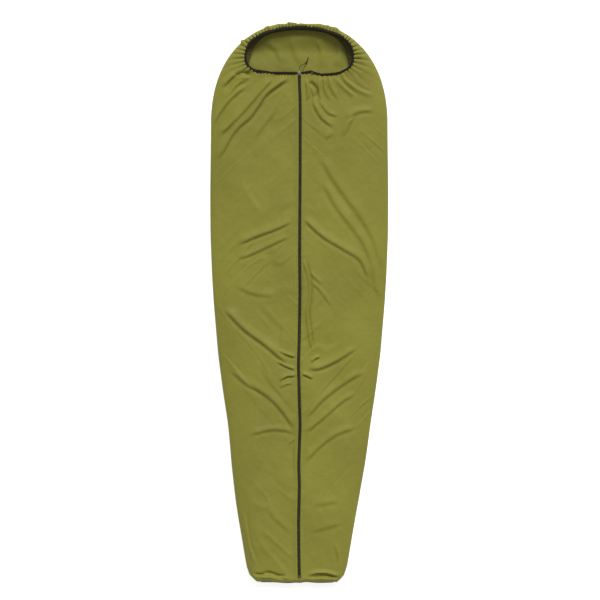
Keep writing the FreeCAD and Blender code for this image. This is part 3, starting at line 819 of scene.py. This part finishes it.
def bandShape(s):
    ripple = np.sin(2 * math.pi * s / binding["rippleGap"] + 2.0 * softNoise(s, s * 0, 30, 1, 31))
    return 1 + 0.10 * ripple + 0.06 * softNoise(s, s * 0, 7, 1, 36)


def rimBand(name, s, wide, high, material):
    plan = np.column_stack([np.interp(s, rimAllAlong, rimAll[:, k]) for k in (0, 1)])
    bounce = 0.9 * softNoise(s, s * 0, 17, 1, 37)
    path = np.column_stack([plan, sack["topZ"] - 0.6 + bounce])
    ups = np.tile([0.0, 0.0, 1.0], (len(s), 1))
    shape = bandShape(s)
    return sweptBand(name, path, ups, wide * shape, high * (2 - shape), material)


def makeBinding():
    whole = rimAllAlong[-1]
    start = fold["lipX"] + binding["join"]
    s = np.linspace(start, whole - start, 900)
    y = np.interp(s, rimAllAlong, rimAll[:, 1])
    wide = binding["wide"] + binding["widerAtCrown"] * smoothStep((y - 1000) / 60)
    hoodBand = rimBand("hoodBinding", s, wide, binding["high"], rimTape)
    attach(hoodBand, "sack")
    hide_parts("hood_binding")
    for side, sign in (("right", 1), ("left", -1)):
        s = np.linspace(binding["start"], start - 2 * binding["join"], 110)
        if sign < 0:
            s = (whole - s)[::-1]
        band = rimBand("lipBinding" + side.capitalize(), s, binding["wide"], binding["high"], rimTape)
        onFlap(band)
        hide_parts("lip_binding_" + side)
        core = rimBand("lipElastic" + side.capitalize(), s, binding["elastic"], binding["elastic"],
                       elasticRubber)
        onFlap(core)
        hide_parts("lip_elastic_" + side)


makeBinding()
print("binding made")


# geometry nodes that set one small part again and again along a line
def rowTree(name, part):
    tree = bpy.data.node_groups.new(name, "GeometryNodeTree")
    tree.is_modifier = True
    sockets = tree.interface
    sockets.new_socket("Geometry", in_out="INPUT", socket_type="NodeSocketGeometry")
    for label in ("Pitch", "Length", "Radius"):
        sockets.new_socket(label, in_out="INPUT", socket_type="NodeSocketFloat")
    sockets.new_socket("Material", in_out="INPUT", socket_type="NodeSocketMaterial")
    sockets.new_socket("Geometry", in_out="OUTPUT", socket_type="NodeSocketGeometry")
    given = addNode(tree, "NodeGroupInput").outputs
    line = addNode(tree, "GeometryNodeMeshToCurve", None, {"Mesh": given["Geometry"]})
    places = addNode(tree, "GeometryNodeCurveToPoints", {"mode": "LENGTH"},
                     {"Curve": line.outputs["Curve"], "Length": given["Pitch"]})
    rod = addNode(tree, "GeometryNodeMeshCylinder", {"fill_type": "TRIANGLE_FAN"},
                  {"Vertices": 6, "Side Segments": 3, "Radius": given["Radius"], "Depth": given["Length"]})
    shape = rod.outputs["Mesh"]
    if part == "barb":
        turned = addNode(tree, "GeometryNodeTransform", None,
                         {"Geometry": shape, "Rotation": (math.pi / 2, 0.0, math.pi / 2)})
        shape = turned.outputs["Geometry"]
    placed = addNode(tree, "GeometryNodeInstanceOnPoints", None,
                     {"Points": places.outputs["Points"], "Instance": shape})
    if part == "stitch":
        tree.links.new(places.outputs["Rotation"], placed.inputs["Rotation"])
    real = addNode(tree, "GeometryNodeRealizeInstances", None, {"Geometry": placed.outputs["Instances"]})
    painted = addNode(tree, "GeometryNodeSetMaterial", None,
                      {"Geometry": real.outputs["Geometry"], "Material": given["Material"]})
    addNode(tree, "NodeGroupOutput", None, {"Geometry": painted.outputs["Geometry"]})
    return tree


stitchTree = rowTree("stitchRow", "stitch")
barbTree = rowTree("coilRow", "barb")


# Runs a row tree along a path in millimetres and gives back a plain mesh piece. The size is pitch, length
# and thickness, in millimetres.
def rowAlong(name, tree, path, size, material):
    mesh = bpy.data.meshes.new(name + "Line")
    mesh.from_pydata([tuple(p * mm) for p in np.asarray(path, float)],
                     [(i, i + 1) for i in range(len(path) - 1)], [])
    line = bpy.data.objects.new(name + "Line", mesh)
    bpy.context.collection.objects.link(line)
    modifier = line.modifiers.new("row", "NODES")
    modifier.node_group = tree
    pitch, length, thickness = size
    values = {"Pitch": pitch * mm, "Length": length * mm, "Radius": thickness / 2 * mm, "Material": material}
    for item in tree.interface.items_tree:
        if item.item_type == "SOCKET" and item.in_out == "INPUT" and item.name in values:
            modifier[item.identifier] = values[item.name]
    bpy.context.view_layer.update()
    evaluated = line.evaluated_get(bpy.context.evaluated_depsgraph_get())
    done = bpy.data.meshes.new_from_object(evaluated)
    bpy.data.objects.remove(line)
    done.name = name
    done.shade_smooth()
    piece = bpy.data.objects.new(name, done)
    bpy.context.collection.objects.link(piece)
    return piece


# Points on the front fabric, raised a little.
def surfaceLine(x, y, lift):
    z = frontHeight(x, y)
    return np.column_stack([x, y, z + lift])


def makeZip():
    y = np.arange(zipSizes["footY"], zipSizes["topY"], zipSizes["step"])
    centre = zipCentre(y)
    lines = np.array(zipSizes["tapeLines"])
    rows = np.arange(zipSizes["footY"] + 0.8, rim["lipY"] - 5, zipSizes["step"])
    hang = np.interp(lines, [0, 5, lines[-1]], [0.0, 0.0, -zipSizes["tapeHang"]])
    tapeY = np.repeat(rows[:, None], len(lines), axis=1)
    tapeZ = np.repeat((zipSizes["tapeZ"] + hang)[None], len(rows), axis=0)
    barbSize = (zipSizes["pitch"], zipSizes["barbLong"], zipSizes["barbThick"])
    for side, sign in (("right", 1), ("left", -1)):
        p = np.dstack([zipCentre(rows)[:, None] + sign * lines[None], tapeY, tapeZ])
        if sign < 0:
            p = p[:, ::-1]
        tape = clothPiece("zipTape" + side.capitalize(), p, zipSizes["tapeThick"], zipTapeCloth)
        offset = 0.0 if sign > 0 else zipSizes["pitch"] / 2
        path = np.column_stack([centre + sign * (zipSizes["barbLong"] / 2 + zipSizes["barbGap"]), y + offset,
                                np.full(len(y), zipSizes["coilZ"])])
        barbs = rowAlong("zipCoil" + side.capitalize(), barbTree, path, barbSize, coilNylon)
        onFlap(tape)
        onFlap(barbs)
        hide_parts("zip_tape_" + side)
        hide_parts("zip_coil_" + side)
        # stitches that hold the folded edge of the cloth to the tape
        line = np.arange(fold["footY"] + 6, rim["lipY"] - 8, zipSizes["stitchStep"])
        path = surfaceLine(zipCentre(line) + sign * zipSizes["stitchLine"], line, 1.0)
        seam = rowAlong("zipStitches" + side.capitalize(), stitchTree, path, zipSizes["stitch"], oliveThread)
        onFlap(seam)


makeZip()
print("zip made")


# inner strip under the zip, sewn along the left half: its edges at the foot, and how far each has shifted
# at the lip
draft = {"footY": -1064.0, "lipGap": 9.0, "outerX": -15.0, "outerShift": -12.0,
         "innerX": -0.8, "innerShift": 6.0, "z": 43.6, "lift": 1.5, "wave": 0.8,
         "stitchX": -25.0, "stitchFootY": -1060.0, "stitch": (3.4, 2.4, 0.45)}


def makeDraftFlap():
    rows, cols = 180, 9
    y = np.linspace(draft["footY"], rim["lipY"] - draft["lipGap"], rows)
    share = (y - y[0]) / (y[-1] - y[0])
    outer = draft["outerX"] + draft["outerShift"] * share
    inner = draft["innerX"] + draft["innerShift"] * share
    a = np.linspace(0, 1, cols)
    x = outer[:, None] + a[None] * (inner - outer)[:, None]
    yy = np.repeat(y[:, None], cols, axis=1)
    z = draft["z"] + draft["wave"] * softNoise(x, yy, 20, 45, 51) + draft["lift"] * (1 - a)[None] ** 2
    strip = clothPiece("draftFlap", np.dstack([x, yy, z]), sack["cloth"], knit)
    onFlap(strip)
    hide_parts("draft_flap")
    line = np.arange(draft["stitchFootY"], rim["lipY"] - 8, zipSizes["stitchStep"])
    path = surfaceLine(zipCentre(line) + draft["stitchX"], line, 0.1)
    seam = rowAlong("draftStitches", stitchTree, path, draft["stitch"], oliveThread)
    onFlap(seam)


makeDraftFlap()


# bound seam across the foot end: half length, half width and half height of its band
footSeam = {"half": 140.0, "inset": 0.4, "raised": 8.0, "wide": 2.6, "high": 6.5, "wave": 1.5}


def makeFootSeam():
    x = np.linspace(-footSeam["half"], footSeam["half"], 160)
    waves = footSeam["wave"] * softNoise(x, x * 0, 24, 1, 61)
    z = sack["seamZ"] + footSeam["raised"] + waves
    path = footWarp(np.column_stack([x, np.full(len(x), footEnd + footSeam["inset"]), z]))
    ups = np.tile([0, 0, 1.0], (len(x), 1))
    high = footSeam["high"] + 0.5 * waves
    band = sweptBand("footSeamBinding", path, ups, footSeam["wide"], high, seamTape)
    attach(band, "sack")
    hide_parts("foot_seam_binding")


makeFootSeam()

# pull cord: the same route as the CAD part's, in metres
cord = {"route": [(0, 0.913, 0.05375), (0, 0.923, 0.05375), (0.006, 0.933, 0.044),
                  (0.015, 0.938, 0.030), (0.022, 0.943, 0.017), (0.029, 0.950, 0.007),
                  (0.033, 0.960, 0.004), (0.036, 0.971, 0.0039)],
        "diameter": 0.003, "length": 0.0936, "knot": (0.0285, 0.9494, 0.0082), "knotR": 0.0030,
        "strandMm": 1.35}  # radius of the cord where it is pulled tight in the knot, in millimetres


def makeCord():
    curve = bpy.data.curves.new("pullCord", "CURVE")
    curve.dimensions = "3D"
    spline = curve.splines.new("NURBS")
    spline.points.add(len(cord["route"]) - 1)
    for point, place in zip(spline.points, cord["route"]):
        point.co = (*place, 1.0)
    spline.order_u = 3
    spline.use_endpoint_u = True
    spline.resolution_u = 12
    curve.bevel_depth = cord["diameter"] / 2
    curve.bevel_resolution = 5
    curve.use_fill_caps = True
    curve.materials.append(cordBraid)
    piece = bpy.data.objects.new("pullCord", curve)
    bpy.context.collection.objects.link(piece)
    t = np.linspace(0, 2 * math.pi, 90, endpoint=False)
    # overhand knot: a trefoil, flattened where it was pulled tight
    middle = np.array(cord["knot"]) * 1000
    knotPath = np.column_stack([np.sin(t) + 2 * np.sin(2 * t), np.cos(t) - 2 * np.cos(2 * t),
                                -np.sin(3 * t)])
    knotPath = knotPath * [1.0, 1.0, 0.9] / 3.0 * cord["knotR"] * 1000 + middle
    knotPath = np.vstack([knotPath, knotPath[:1]])
    ups = knotPath - middle + [0.01, 0.02, 0.03]
    knot = sweptBand("pullCordKnot", knotPath, ups, cord["strandMm"], cord["strandMm"], cordBraid, around=10)
    for part, node in ((piece, "pull_cord"), (knot, "pull_cord_knot")):
        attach(part, "pull_tab")
        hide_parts(node)


makeCord()


# a small cast or pressed part: the frame's shape with its edges rounded over
def softened(node, body, material, radius):
    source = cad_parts[node]
    shape = bmesh.new()
    shape.from_mesh(source.data)
    bmesh.ops.remove_doubles(shape, verts=shape.verts, dist=1e-6)
    bmesh.ops.dissolve_limit(shape, angle_limit=math.radians(4), verts=shape.verts, edges=shape.edges)
    sharp = [e for e in shape.edges if len(e.link_faces) == 2 and e.calc_face_angle() > math.radians(50)]
    bmesh.ops.bevel(shape, geom=sharp, offset=radius * mm, segments=2, affect="EDGES", profile=0.5)
    mesh = bpy.data.meshes.new(node + "Cast")
    shape.to_mesh(mesh)
    shape.free()
    mesh.transform(source.matrix_world)
    mesh.materials.append(material)
    mesh.shade_smooth()
    mesh.set_sharp_from_angle(angle=math.radians(40))
    piece = bpy.data.objects.new(node + "Cast", mesh)
    bpy.context.collection.objects.link(piece)
    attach(piece, body)
    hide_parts(node)


# each cast part with its body, finish and the radius of its edges in millimetres
castParts = {
    "slider_body": ("slider", paintedZinc, 0.35),
    "slider_crown": ("slider", paintedZinc, 0.2),
    "pull_tab": ("pull_tab", zinc, 0.2),
    "zip_bottom_stop": ("sack", paintedZinc, 0.3),
    "zip_top_stop_left": ("flap_left", zinc, 0.2),
    "zip_top_stop_right": ("flap_right", zinc, 0.2),
    "elastic_eyelet": ("flap_right", paintedZinc, 0.15),
}
for node, (body, finish, radius) in castParts.items():
    softened(node, body, finish, radius)
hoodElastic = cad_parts["hood_elastic"].data.materials
hoodElastic.clear()
hoodElastic.append(elasticRubber)
print("cord and metal parts made")


# a pale board that glows a little, which keeps the shadow on it faint, in metres
board = {"half": 30.0, "z": -0.0005, "grey": 0.6, "glow": 0.72}


def makeStage():
    material, tree = newMaterial("paleFloor")
    grey = board["grey"]
    finishSurface(tree, (grey, grey, grey, 1.0), None,
                  {"Roughness": 0.9, "Emission Color": (1.0, 1.0, 1.0, 1.0),
                   "Emission Strength": board["glow"]})
    half = board["half"]
    corners = [(x * half, y * half, board["z"]) for x, y in ((-1, -1), (1, -1), (1, 1), (-1, 1))]
    floor = newMesh("floor", corners, [(0, 1, 2, 3)], material)


light = {"from": (0.2, 1.0, 1.05), "strength": 3.6, "softness": 22.0, "sky": 0.44}


def makeLights():
    lamp = bpy.data.lights.new("softKey", "SUN")
    lamp.energy = light["strength"]
    lamp.angle = math.radians(light["softness"])
    holder = bpy.data.objects.new("softKey", lamp)
    bpy.context.collection.objects.link(holder)
    holder.rotation_euler = Vector(light["from"]).to_track_quat("Z", "Y").to_euler()
    world = bpy.data.worlds.new("paleSky")
    world.use_nodes = True
    world.node_tree.nodes["Background"].inputs["Color"].default_value = (1, 1, 1, 1)
    world.node_tree.nodes["Background"].inputs["Strength"].default_value = light["sky"]
    bpy.context.scene.world = world
    bpy.context.scene.view_settings.view_transform = "Standard"


camera = {"lens": 150.0, "fieldMm": 2357.0, "aimX": 2.8, "aimY": 11.4}


def makeCamera():
    data = bpy.data.cameras.new("camera")
    data.lens = camera["lens"]
    holder = bpy.data.objects.new("camera", data)
    bpy.context.collection.objects.link(holder)
    height = camera["fieldMm"] * mm * camera["lens"] / data.sensor_width
    holder.location = (camera["aimX"] * mm, camera["aimY"] * mm, height + sack["topZ"] * mm)
    data.clip_end = 100
    bpy.context.scene.camera = holder


makeStage()
makeLights()
makeCamera()
print("stage made")
